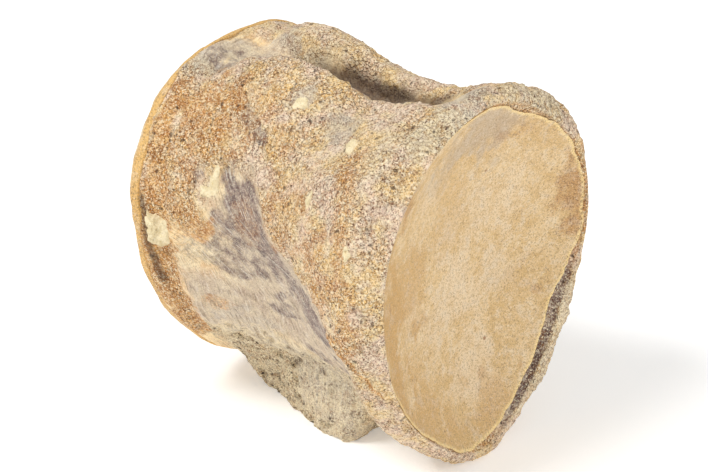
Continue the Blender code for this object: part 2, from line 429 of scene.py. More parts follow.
# %% The scar's back edge and the keel's upper edge
SCAR_EDGE_CLOCK = (100.0, 114.0, 120.0, 127.0, 137.0, 145.0, 157.0,
                   165.0, 169.0, 175.0, 183.0, 194.0, 206.0, 270.0)
SCAR_EDGE_BACK = (0.80, 0.76, 0.63, 0.60, 0.575, 0.54, 0.475,
                  0.39, 0.30, 0.20, 0.135, 0.11, 0.11, 0.13)
KEEL_EDGE_BACK = (0.30, 0.52, 0.58, 0.67, 0.72, 0.80, 0.90)
KEEL_EDGE_CLOCK = (244.0, 224.0, 207.0, 195.0, 192.0, 188.0, 186.0)


def behind_scar(u, clock):
    """How far a place lies behind the scar's back edge, in mm along the bone; less than 0 on it."""
    return (u - np.interp(folded(clock), SCAR_EDGE_CLOCK, SCAR_EDGE_BACK)) * CENTRUM


def below_crease(u, clock):
    """How far a place lies below the keel's upper edge, in degrees."""
    return folded(clock) - np.interp(u, KEEL_EDGE_BACK, KEEL_EDGE_CLOCK)


# %% The stains
# Ovals: place (u, clock), half sizes in mm, lean in degrees, strength
# Streaks: path of (u, clock) places, half width in mm, strength
RUST = (
    ((0.85, 129.0), (7.0, 13.0), 0.0, 0.9),
    ((0.93, 160.0), (5.0, 12.0), 0.0, 0.7),
    ((0.585, 159.0), (3.4, 7.0), 20.0, 0.3),
    ((0.03, 18.0), (4.0, 15.0), 0.0, 0.85),
    ((0.66, 130.0), (5.0, 5.0), 0.0, 0.5),
    ((0.50, 75.0), (24.0, 4.0), 0.0, 0.22),
    ((0.40, 150.0), (7.0, 9.0), 0.0, 0.5),
    ((0.23, 165.0), (5.0, 10.0), 20.0, 0.6),
    ((0.60, 117.0), (6.0, 4.5), 0.0, 0.45),
    ((0.78, 120.0), (6.0, 5.0), 0.0, 0.8),
    ((0.80, 165.0), (4.5, 4.0), 20.0, 0.9),
    ((0.79, 207.0), (4.0, 3.0), 0.0, 0.4),
    ((0.50, 128.0), (5.0, 4.0), 0.0, 0.45),
    ((0.70, 55.0), (9.0, 7.0), 0.0, 0.8),
    ((0.33, 30.0), (8.0, 9.0), 0.0, 0.6),
    ((0.80, 10.0), (7.0, 8.0), 30.0, 0.7),
    ((0.62, 325.0), (5.0, 4.0), 0.0, 0.6),
)
RUST_STREAKS = (
    (((0.21, 128.0), (0.165, 140.0), (0.13, 152.0), (0.10, 166.0), (0.085, 180.0)), 2.6, 0.55),
    (((0.14, 180.0), (0.07, 192.0), (0.035, 203.0)), 0.9, 1.0),
    (((0.95, 120.0), (0.93, 150.0), (0.92, 178.0), (0.92, 205.0), (0.93, 235.0)), 3.4, 0.95),
    (((0.975, 165.0), (0.97, 185.0), (0.965, 205.0), (0.96, 240.0)), 1.6, 0.9),
    (((0.93, 60.0), (0.92, 20.0), (0.92, 340.0), (0.93, 300.0)), 2.6, 0.7),
    (((0.12, 60.0), (0.10, 30.0), (0.09, 0.0), (0.08, 330.0)), 2.0, 0.7),
)
MAUVE = (
    ((0.67, 137.0), (3.4, 2.6), 0.0, 0.3),
    ((0.77, 146.0), (2.6, 3.4), 0.0, 0.5),
    ((0.80, 175.0), (4.0, 4.0), 0.0, 0.35),
    ((0.62, 172.0), (9.0, 11.0), 20.0, 0.5),
    ((0.90, 102.0), (5.0, 5.0), 0.0, 0.6),
    ((0.06, 133.0), (3.0, 9.0), 0.0, 0.30),
    ((0.50, 198.0), (8.0, 3.5), 30.0, 0.6),
    ((0.30, 228.0), (12.0, 7.0), -35.0, 0.5),
    ((0.55, 30.0), (8.0, 6.0), 30.0, 0.7),
    ((0.45, 345.0), (10.0, 7.0), 0.0, 0.6),
)
MAUVE_STREAKS = (
    (((0.745, 118.0), (0.70, 122.0), (0.64, 126.0), (0.575, 129.5)), 1.7, 1.0),
    (((0.64, 147.0), (0.59, 153.0), (0.55, 160.0), (0.50, 167.0), (0.42, 176.0), (0.30, 192.0)),
     4.6, 0.85),
    (((0.30, 205.0), (0.22, 222.0), (0.20, 240.0)), 2.5, 0.7),
    (((0.52, 192.0), (0.44, 183.0), (0.36, 178.0)), 1.6, 0.7),
    (((0.60, 200.0), (0.50, 203.0), (0.42, 196.0)), 0.9, 0.7),
    (((0.68, 42.0), (0.56, 34.0), (0.44, 18.0), (0.36, 2.0)), 3.6, 0.9),
)
CREAM = (
    ((0.73, 148.0), (2.4, 3.0), 0.0, 1.0),
    ((0.77, 171.0), (4.4, 6.5), 15.0, 0.75),
    ((0.84, 183.0), (3.5, 3.5), 0.0, 0.6),
    ((0.31, 143.5), (1.0, 1.6), 0.0, 1.0),
    ((0.27, 124.0), (1.6, 2.2), 0.0, 0.8),
    ((0.04, 113.0), (4.0, 9.0), 0.0, 1.0),
    ((0.13, 125.0), (3.5, 9.0), 0.0, 0.5),
    ((0.58, 188.0), (9.0, 5.0), 25.0, 0.3),
    ((0.36, 152.0), (4.5, 6.0), 0.0, 0.4),
    ((0.74, 85.0), (4.0, 3.0), 0.0, 0.8),
    ((0.60, 76.0), (16.0, 4.0), 0.0, 0.35),
    ((0.955, 130.0), (2.0, 17.0), 0.0, 0.55),
    ((0.02, 318.0), (3.0, 15.0), 0.0, 0.75),
    ((0.02, 62.0), (3.0, 10.0), 0.0, 0.8),
    ((0.70, 22.0), (6.0, 6.0), 0.0, 0.7),
    ((0.25, 340.0), (6.0, 8.0), 0.0, 0.6),
)
OLIVE = (
    ((0.38, 117.0), (6.0, 4.0), 0.0, 0.8),
    ((0.51, 115.0), (3.6, 3.0), 0.0, 0.95),
    ((0.92, 101.0), (6.0, 10.0), 0.0, 0.9),
    ((0.96, 112.0), (3.0, 6.0), 0.0, 0.6),
    ((0.86, 84.0), (5.0, 5.0), 0.0, 0.8),
    ((0.07, 97.0), (5.0, 5.0), 0.0, 0.9),
    ((0.70, 226.0), (10.0, 10.0), 0.0, 0.5),
    ((0.45, 240.0), (14.0, 8.0), 0.0, 0.55),
    ((0.50, 300.0), (14.0, 10.0), 0.0, 0.5),
    ((0.90, 50.0), (4.0, 7.0), 0.0, 0.6),
)


def stained(u, clock, ovals, streaks, ragged):
    """The strongest of a list of ovals and streaks at each place."""
    strongest = np.zeros(u.shape)
    for centre, size, lean, strength in ovals:
        strongest = np.maximum(strongest, strength * oval(u, clock, centre, size, lean, ragged))
    for path, width, strength in streaks:
        strongest = np.maximum(strongest, strength * streak(u, clock, path, width, ragged))
    return strongest


# %% The marks of each zone
# Painted shade along the crease at the edge of the domed face: its path of (u, clock) places, half width
# in mm and strength
CREASE_PATH = ((0.968, 160.0), (0.963, 176.0), (0.955, 188.0), (0.948, 198.0))
CREASE_WIDTH, CREASE_SHADE = 0.8, 0.7
FIBRE_GAP, FIBRE_RUN = 0.45, 5.0


def zones(u, clock, points):
    """The marks that the finishes read on every point of the skin: each zone and stain from 0 to 1,
    painted shade in the bottom of the neural canal and along the crease before the domed face, made
    of eased edges along u and round the clock, and two lengths that follow the fibres. Also the
    noise that makes the edges ragged."""
    ragged = 0.45 * rough(points, 5.0, 301, 5, 0.6)
    aside = np.abs(turn_from(clock, CANAL_CLOCK))
    round_side = folded(clock)
    scar_gap = behind_scar(u, clock) + 2.2 * ragged
    upper = 1.0 - ease(136.0, 148.0, round_side + 10.0 * ragged)
    crown = ease(0.83, 0.90, u + 0.05 * ragged) * (1.0 - ease(106.0, 114.0, round_side + 5.0 * ragged))
    scar = np.maximum(1.0 - ease(-1.5, 1.5, scar_gap), upper * (1.0 - crown))
    canal = (1.0 - ease(7.0, 11.0, aside + 3.0 * ragged)) * shelf(u, (0.03, 0.10), (0.93, 1.0))
    under = ease(218.0, 236.0, round_side + 14.0 * ragged) * shelf(u, (0.22, 0.32), (0.90, 0.96))
    collar = 1.0 - ease(0.035, 0.06, u + 0.012 * ragged)
    valley = np.clip(1.0 - scar - canal - under - collar, 0.0, 1.0)
    lower = ease(176.0, 196.0, round_side) * (1.0 - ease(0.84, 0.91, u + 0.08 * ragged))
    valley = valley * np.maximum(1.0 - ease(0.62, 0.80, u + 0.1 * ragged), lower)
    shoulder = 0.7 * ease(0.66, 0.78, u + 0.1 * ragged) * (1 - ease(150.0, 172.0, round_side))
    marks = {
        "scar": np.clip(scar - canal + shoulder, 0.0, 1.0),
        "valley": valley,
        "canal": canal,
        "spongy": under,
        "collar": collar,
        "rust": stained(u, clock, RUST, RUST_STREAKS, ragged),
        "mauve": stained(u, clock, MAUVE, MAUVE_STREAKS, ragged),
        "cream": stained(u, clock, CREAM, (), ragged),
        "olive": stained(u, clock, OLIVE, (), ragged),
        # Painted shade: dark in the bottom of the neural canal, and along the crease before the domed
        # face
        "deep": np.maximum(shelf(clock + 1.2 * ragged, (80.2, 82.0), (94.0, 106.0))
                           * shelf(u + 0.10 * ragged, (0.08, 0.36), (0.58, 0.84)),
                           CREASE_SHADE * streak(u, clock, CREASE_PATH, CREASE_WIDTH, ragged)),
        "across_fibres": behind_scar(u, clock) / FIBRE_GAP + 1.5 * ragged,
        "along_fibres": round_side * MM_PER_DEGREE / FIBRE_RUN,
    }
    return marks, ragged


# %% [markdown]
# ## Relief on the skin
# The broken scars are granular, the cortex is smooth with fine fibres that run along the scar's edge,
# and the keel shows the open spongy bone inside. Heights are sums of noise of several sizes, each
# times the mark of the zone that it belongs to. A displacement in the material would cost nothing to
# set up, but the mesh itself must carry every form that can be seen.

# %% Heights above the smooth skin in millimetres
SWELLING, WAVE, ROUGHNESS = 0.35, 0.30, 0.34
GRAIN_PIT, GRAIN_TOP, FIBRE = 0.30, 0.16, 0.15
HOLE_DEPTH, CHIP_DEPTH = 1.6, 1.1
STUMP_KNOB, SCAR_STEP, KEEL_LEDGE = 0.9, 0.28, 0.30


def relief(u, clock, points, marks, ragged):
    """Height in mm, a sum: swellings and a knob on the far stump, grains on broken faces, fibres on
    the cortex, holes in spongy bone, a step along the scar's edge, a ledge along the keel's, and a
    chipped edge round the hollow face. It fades to nothing at the lip and to half at the rim."""
    broken = np.clip(marks["scar"] + 0.9 * marks["collar"] + 0.8 * marks["rust"]
                     + 0.7 * marks["spongy"] - 0.5 * marks["cream"] + 0.15, 0.0, 1.0)
    smooth = np.clip(marks["canal"] + 0.6 * marks["olive"] + marks["valley"], 0.0, 1.0)
    broken = broken * (1.0 - 0.75 * smooth)
    height = SWELLING * rough(points, 12.0, 11, 2)
    knob = STUMP_KNOB * bump(turn_from(clock, 72.0), 0.0, 9.0) * shelf(u, (0.55, 0.78), (0.90, 0.97))
    height = height + knob
    height = height + WAVE * (1.0 - smooth) * rough(points, 4.5, 21, 3)
    height = height + ROUGHNESS * broken * rough(points, 2.3, 31, 4, 0.62)
    grain, own = cells(points + 0.3 * rough(points, 1.5, 41, 2)[..., None], 1.25, 51)
    height = height - GRAIN_PIT * broken * (own > 0.55) * (1.0 - ease(0.18, 0.42, grain))
    height = height + GRAIN_TOP * broken * (own < 0.30) * (1.0 - ease(0.10, 0.48, grain))
    lines = np.stack([behind_scar(u, clock) / 0.55 + 1.2 * ragged, folded(clock) * MM_PER_DEGREE / 7.0,
                      0.0 * u + np.sign(np.cos(np.radians(clock)))], axis=-1)
    fibres = noise(lines, 1.0, 61) + 0.5 * noise(2.1 * lines, 1.0, 62)
    height = height + FIBRE * (marks["valley"] + 0.6 * marks["spongy"] + 0.3 * marks["olive"]) * fibres
    hole, size = cells(points + 0.6 * rough(points, 1.4, 72, 3)[..., None], 2.9, 71)
    deep = marks["spongy"] * (size > 0.45)
    height = height - HOLE_DEPTH * deep * (1.0 - ease(0.16, 0.38, hole))
    step = bump(behind_scar(u, clock) + 1.5 * ragged, -0.6, 1.6) * ease(112.0, 130.0, folded(clock))
    height = height + SCAR_STEP * step * (1.0 - ease(196.0, 210.0, folded(clock)))
    ledge = bump(below_crease(u, clock) + 3.0 * ragged, 1.0, 5.0) * shelf(u, (0.42, 0.55), (0.80, 0.92))
    height = height + KEEL_LEDGE * ledge
    chips = shelf(u, (0.004, 0.02), (0.05, 0.09)) * np.clip(rough(points, 4.0, 81, 3) - 0.1, 0.0, 1.0)
    height = height - CHIP_DEPTH * chips
    fade = ease(0.0, 0.012, u) * (1.0 - 0.5 * ease(0.94, 0.98, u))
    return height * fade


# %% [markdown]
# ## The centrum
# The largest piece is the centrum's side with the scars, the canal and the keel. Its rings stand
# closest where the front edge rounds over. Both ends close under the two joint faces, which are
# pieces of their own, as the real cartilage faces are layers of denser bone.

# %% Rings for the faces and their ends
RING_FOR_NOISE = 30.0


def fan_out(reaches, around):
    """Repeats a row of reaches round the clock, with the clock angles that go with them."""
    angles = clock_grid(len(reaches), around)
    return np.broadcast_to(np.asarray(reaches)[:, None], angles.shape), angles


def cap_start(clock):
    """Where the domed face begins along the side, as u: a fixed place plus a bump near the top,
    where it lies furthest back, plus noise."""
    ring = on_ring(0.0 * clock, RING_FOR_NOISE + 0.0 * clock, clock)
    return 0.978 + 0.016 * bump(turn_from(clock, 100.0), 0.0, 60.0) + 0.006 * rough(ring, 6.0, 501, 3)


def padded_marks(marks, before, after):
    """Repeats the first and last rows of each mark for the hidden rings at the two ends."""
    return {name: np.concatenate([np.repeat(values[:1], before, axis=0), values,
                                  np.repeat(values[-1:], after, axis=0)])
            for name, values in marks.items()}


# %% The side of the centrum
EDGE_ROWS, SIDE_ROWS = 20, 186
CAP_SUNK = 0.6
edge_turn = np.linspace(0.0, np.pi / 2.0, EDGE_ROWS, endpoint=False)
edge_u = LIP_WEAR / CENTRUM * (1.0 - np.cos(edge_turn))
side_u = np.linspace(LIP_WEAR / CENTRUM, 1.0, SIDE_ROWS)
row_u = np.concatenate([edge_u, side_u])
clock = clock_grid(len(row_u))
u = np.broadcast_to(row_u[:, None], clock.shape)
plain = side_skin(u, clock)
marks, ragged = zones(u, clock, plain)
height = relief(u, clock, plain, marks, ragged)
side = plain + outward(plain) * height[..., None]
under_cap = CAP_SUNK * ease(0.0, 0.012, u - cap_start(clock) - 0.004)
side = side - outward(plain) * under_cap[..., None]
print("side of", len(row_u), "rings, relief from", np.round([height.min(), height.max()], 2), "mm")

# %% The broken shelf inside the lip, and the two hidden ends
SHELF_START, SHELF_ROWS = 0.86, 12
SHELF_GRIT, SHELF_SUNK, FLOOR_SUNK = 0.22, 0.30, 1.2
BACK_REACH = (0.97, 0.9, 0.75, 0.5, 0.25, 0.0)
BACK_SUNK = (0.4, 0.8, 1.5, 1.5, 1.5, 1.5)
shelf_reach, shelf_clock = fan_out(np.linspace(SHELF_START, 1.0, SHELF_ROWS, endpoint=False), AROUND)
front_shelf = dish_skin(shelf_reach, shelf_clock)
grit = SHELF_GRIT * rough(front_shelf, 2.0, 91, 4, 0.6) - SHELF_SUNK
grit = grit * shelf(shelf_reach, (0.85, 0.88), (0.97, 1.01))
front_shelf = front_shelf + outward(front_shelf) * grit[..., None]
low_reach, low_clock = fan_out([0.0, 0.4, 0.8], AROUND)
front_floor = dish_skin(low_reach, low_clock) - [FLOOR_SUNK, 0.0, 0.0]
shelf_marks = {name: np.repeat(values[:1], SHELF_ROWS, axis=0) for name, values in marks.items()}
inner_band = shelf(shelf_clock, (268.0, 290.0), (338.0, 352.0))
shelf_marks["mauve"] = np.maximum(shelf_marks["mauve"], inner_band)
shelf_marks["rust"] = np.maximum(shelf_marks["rust"], 0.5 * (1.0 - inner_band))
marks = {name: np.concatenate([shelf_marks[name], values]) for name, values in marks.items()}
back_cap = dome_skin(*fan_out(BACK_REACH, AROUND))
back_cap[..., 0] += np.array(BACK_SUNK)[:, None]
centrum = closed_piece("centrum", np.concatenate([front_floor, front_shelf, side, back_cap]),
                       padded_marks(marks, len(front_floor), len(back_cap)))

# %% [markdown]
# ## The hollow face
# The cotyle is the cup of the ball joint. Its skin is a thin layer of dense bone, so it is made as a
# thin shell with a rounded edge that stands a little proud of the broken collar. A boolean cut could
# part the two finishes, but a shell of its own keeps the edge crisp at any distance.

# %% Stains on the cotyle's face
# Each stain: place as parts of the radius to the bone's left and up, half sizes, strength
FACE_STAINS = {
    "ochre": (((-0.84, 0.00), (0.28, 0.85), 1.0), ((-0.45, 0.12), (0.26, 0.26), 0.7),
              ((-0.45, -0.80), (0.40, 0.22), 0.7), ((0.10, -0.90), (0.40, 0.12), 0.6),
              ((0.62, -0.30), (0.20, 0.16), 0.4), ((-0.10, 0.45), (0.16, 0.30), 0.4),
              ((0.35, 0.78), (0.28, 0.14), 0.6)),
    "pale": (((0.15, -0.15), (0.50, 0.35), 0.8), ((-0.50, -0.08), (0.14, 0.20), 0.7),
             ((0.10, -0.58), (0.34, 0.34), 0.9), ((0.35, 0.30), (0.40, 0.30), 0.6),
             ((-0.34, 0.52), (0.10, 0.16), 0.7), ((-0.62, -0.45), (0.12, 0.16), 0.4)),
    "mauve": (((0.02, 0.84), (0.46, 0.18), 1.0), ((-0.26, 0.66), (0.18, 0.16), 0.45),
              ((0.25, 0.62), (0.20, 0.12), 0.5), ((0.45, -0.35), (0.20, 0.30), 0.3),
              ((-0.05, 0.25), (0.30, 0.20), 0.25)),
    "rust": (((0.94, 0.22), (0.16, 0.42), 1.0), ((0.84, 0.46), (0.09, 0.14), 0.7),
             ((0.16, -0.70), (0.03, 0.03), 0.6), ((0.47, -0.82), (0.035, 0.035), 0.6),
             ((0.78, -0.40), (0.06, 0.04), 0.6), ((0.42, 0.78), (0.30, 0.07), 0.45),
             # Painted shade: the tiny dark dot at (-0.774, 0.095) stands for the shade in a small pit;
             # the face is not sunk there
             ((-0.774, 0.095), (0.012, 0.02), 1.0), ((-0.62, 0.55), (0.05, 0.12), 0.6)),
}
FACE_RADIUS = 31.0


def face_stain(reach, clock, ovals):
    """The strongest of some ovals on the face: each fades with the distance from its centre in parts
    of its half sizes, made ragged by noise."""
    left, up = reach * np.cos(np.radians(clock)), reach * np.sin(np.radians(clock))
    spot = np.stack([0.0 * left, left * FACE_RADIUS, up * FACE_RADIUS], axis=-1)
    ragged = 0.60 * rough(spot, 7.0, 431, 6, 0.7)
    strongest = np.zeros(left.shape)
    for (x, y), (wide, tall), strength in ovals:
        away = np.hypot((left - x) / wide, (up - y) / tall)
        strongest = np.maximum(strongest, strength * (1.0 - ease(0.3, 1.25, away + ragged)))
    return strongest


# %% The cotyle's face
FACE_ROWS, FACE_AROUND = 170, 500
FACE_THICKNESS, FACE_PROUD = 0.45, 0.10
FACE_LOSS = (0.012, 0.004, 0.010, 0.020, 0.004, 0.002, 0.002, 0.002, 0.006, 0.014, 0.036, 0.060)
NOTCH_LOSS, RAGGED_LOSS = 0.03, 0.009
FACE_SWELLING, FACE_GRAIN, FACE_PIT, FACE_EDGE_WEAR = 0.15, 0.04, 0.22, 0.06
NEAR_POLE = 0.004
face_share = np.sin(np.linspace(0, np.pi / 2, FACE_ROWS)) ** 0.9
reach, clock = fan_out(NEAR_POLE + (1 - NEAR_POLE) * face_share, FACE_AROUND)
edge_loss = round_the_clock(FACE_LOSS, clock) + NOTCH_LOSS * bump(turn_from(clock, 72.0), 0.0, 16.0)
lip_ring = on_ring(0.0 * clock, FACE_RADIUS + 0.0 * clock, clock)
edge_loss = edge_loss + RAGGED_LOSS * (1.0 + rough(lip_ring, 5.0, 401, 4, 0.6))
dish = dish_skin(reach * (1.0 - edge_loss), clock)
dish_height = (FACE_PROUD + FACE_SWELLING * rough(dish, 9.0, 411, 3)
               + FACE_GRAIN * rough(dish, 1.8, 412, 3, 0.6))
spot, own = cells(dish, 3.4, 413)
dish_height = dish_height - FACE_PIT * (own > 0.86) * (1.0 - ease(0.05, 0.16, spot))
dish_height = dish_height - FACE_EDGE_WEAR * ease(0.98, 1.0, reach)
dish_top = dish + outward(dish) * dish_height[..., None]
dish_marks = {"rim": reach + 0.0}
for name, ovals in FACE_STAINS.items():
    dish_marks[name] = face_stain(reach, clock, ovals)
dish_wall = [dish_top[-1:] - [FACE_THICKNESS * share, 0.0, 0.0] for share in (0.4, 1.0)]
low_reach, low_clock = fan_out([0.92, 0.6, 0.3, NEAR_POLE], FACE_AROUND)
dish_back = dish_skin(low_reach, low_clock) - [FACE_THICKNESS, 0.0, 0.0]
dish_under = np.concatenate([*dish_wall, dish_back])
cotyle_face = closed_piece("cotyle_face", np.concatenate([dish_top, dish_under]),
                           padded_marks(dish_marks, 0, len(dish_under)))

# %% [markdown]
# ## The domed face
# The condyle is the ball of the joint. Its cap starts just behind a crease in the side and runs over
# the rim to the pole. It is worn, so it has shallow pits and a slightly lumpy polish. A flattened ball
# would have the right look, but rings that start from the side's own skin sit tight on it.

# %% Stains on the condyle's face
DOME_STAINS = {
    "ochre": (((0.30, 0.30), (0.60, 0.45), 0.7), ((-0.50, -0.40), (0.45, 0.50), 0.7),
              ((0.0, 0.9), (0.8, 0.2), 0.6), ((-0.80, -0.55), (0.45, 0.60), 1.0)),
    "pale": (((-0.20, 0.10), (0.55, 0.50), 0.7), ((0.45, -0.45), (0.45, 0.40), 0.6)),
    "mauve": (((0.50, 0.60), (0.45, 0.25), 0.35), ((-0.15, -0.72), (0.55, 0.22), 0.4),
              ((-0.5, 0.5), (0.3, 0.3), 0.25)),
    "rust": (((-0.88, 0.10), (0.16, 0.60), 0.8), ((0.88, -0.10), (0.16, 0.50), 0.8),
             ((0.1, -0.35), (0.3, 0.16), 0.25)),
}

# %% The condyle's face
CAP_ROWS, DOME_ROWS, ROUNDED_ROWS = 30, 150, 5.0
DOME_PROUD, DOME_EDGE_SUNK, DOME_THICKNESS = 0.22, 0.35, 2.0
DOME_SWELLING, DOME_GRAIN, DOME_PIT = 0.30, 0.07, 0.28
cap_share, cap_clock = fan_out(np.linspace(0.0, 1.0, CAP_ROWS, endpoint=False), AROUND)
cap_u = cap_start(cap_clock) + (1.0 - cap_start(cap_clock)) * cap_share
cap_reach, dome_clock = fan_out(np.cos(np.linspace(0.0, np.pi / 2 - NEAR_POLE, DOME_ROWS)), AROUND)
dome = np.concatenate([side_skin(cap_u, cap_clock), dome_skin(cap_reach, dome_clock)])
dome_height = (DOME_PROUD + DOME_SWELLING * rough(dome, 10.0, 511, 3)
               + DOME_GRAIN * rough(dome, 2.2, 512, 4, 0.6))
grain, own = cells(dome, 2.4, 513)
dome_height = dome_height - DOME_PIT * (own > 0.62) * (1.0 - ease(0.10, 0.30, grain))
edge_round = np.concatenate([ease(0.0, ROUNDED_ROWS, np.arange(CAP_ROWS)), np.ones(DOME_ROWS)])[:, None]
dome_height = dome_height * edge_round - DOME_EDGE_SUNK * (1 - edge_round)
dome_outer = dome + outward(dome) * dome_height[..., None]
low_reach, low_clock = fan_out([NEAR_POLE, 0.4, 0.75, 0.93], AROUND)
dome_under = dome_skin(low_reach, low_clock) + [DOME_THICKNESS, 0.0, 0.0]
dome_reach = np.concatenate([np.ones((CAP_ROWS, AROUND)), cap_reach])
dome_turn = np.concatenate([cap_clock, dome_clock])
dome_marks = {"rim": dome_reach}
for name, ovals in DOME_STAINS.items():
    dome_marks[name] = face_stain(dome_reach, dome_turn, ovals)
condyle_face = closed_piece("condyle_face", np.concatenate([dome_under, dome_outer]),
                            padded_marks(dome_marks, len(dome_under), 0))

# %% [markdown]
# ## Crumbs of rock and flakes
# A few crumbs of pale chalky rock still cling to the bone, and thin flakes of its skin stand up. Each
# is a lumpy lens laid on the skin: a disc of points with a height that falls to its edge, and an
# underside sunk into the bone. They could be carved from balls, but a lens fits the skin by itself.

# %% Crumbs on the side
# Each crumb: place (u, clock), half sizes in mm, thickness in mm, seed of its noise
CRUMBS = (
    ((0.925, 173.0), (2.3, 3.1), 1.1, 611),
    ((0.935, 168.5), (1.3, 1.6), 0.9, 612),
    ((0.715, 147.0), (1.2, 2.6), 0.35, 613),
    ((0.745, 151.0), (1.8, 1.2), 0.30, 614),
    ((0.30, 143.5), (0.9, 1.5), 0.45, 615),
    ((0.265, 124.0), (0.8, 1.7), 0.50, 616),
    ((0.10, 153.5), (0.8, 1.1), 0.40, 617),
    ((0.50, 117.0), (1.2, 1.2), 0.35, 618),
    ((0.62, 20.0), (1.8, 2.4), 0.7, 619),
    ((0.30, 350.0), (1.4, 1.8), 0.5, 620),
    ((0.80, 318.0), (2.0, 1.6), 0.8, 621),
)


def crumb(centre, size, thickness, seed, rows=26, around=72):
    """A lens on the skin: reach runs from 0 in its middle to 1 at its edge, its top stands
    (1 less reach to the power 4) times the thickness above the skin, and its underside is sunk."""
    reach = np.linspace(NEAR_POLE, 1.0, rows)[:, None]
    angle = np.arange(around)[None] / around * 2.0 * np.pi
    ring = np.stack([2.0 * np.cos(angle), 2.0 * np.sin(angle), 0.0 * angle], axis=-1)
    spread = reach * (1.0 + 0.35 * rough(ring, 1.6, seed, 3))
    u = centre[0] + spread * np.cos(angle) * size[0] / CENTRUM
    clock = centre[1] + spread * np.sin(angle) * size[1] / MM_PER_DEGREE
    plain = side_skin(u, clock)
    marks, ragged = zones(u, clock, plain)
    up = outward(plain)
    up = np.where(np.linalg.norm(up, axis=-1, keepdims=True) < 0.5, up[1:2], up)
    if (up[rows // 2, 0] @ plain[rows // 2, 0]) < 0.0:
        up = -up
    skin = plain + up * relief(u, clock, plain, marks, ragged)[..., None]
    lumps = 1.0 + 0.45 * rough(plain, 1.3, seed + 3, 4, 0.6)
    top = skin + up * (thickness * (1.0 - reach ** 4) * lumps - 0.15 * reach ** 4)[..., None]
    under = (skin - 0.6 * up)[[-1, rows // 2, 0]]
    return np.concatenate([top, under])


crumb_pieces = []
for number, (centre, size, thickness, seed) in enumerate(CRUMBS):
    rings = crumb(centre, size, thickness, seed)
    crumb_pieces.append(closed_piece(f"crumb_{number + 1}", rings))

# %% [markdown]
# ## Shader sums as Python
# A finish is a tree of nodes. Wrapping a socket in a small class lets the tree be written as sums, so
# that `1 - mask * grain` adds its own Math nodes. Dragging nodes by hand gives the same tree.

# %% A socket that can be summed, and the recipe that adds nodes
class Signal:
    """A socket of a finish; sums on it add Math nodes."""

    def __init__(self, recipe, socket):
        self.recipe = recipe
        self.socket = socket

    def calculate(self, operation, first, second):
        """One Math node on two signals or numbers."""
        node = self.recipe.node("ShaderNodeMath", {"operation": operation}, {0: first, 1: second})
        return Signal(self.recipe, node.outputs[0])

    def __add__(self, other):
        return self.calculate("ADD", self, other)

    def __radd__(self, other):
        return self.calculate("ADD", other, self)

    def __sub__(self, other):
        return self.calculate("SUBTRACT", self, other)

    def __rsub__(self, other):
        return self.calculate("SUBTRACT", other, self)

    def __mul__(self, other):
        return self.calculate("MULTIPLY", self, other)

    def __rmul__(self, other):
        return self.calculate("MULTIPLY", other, self)


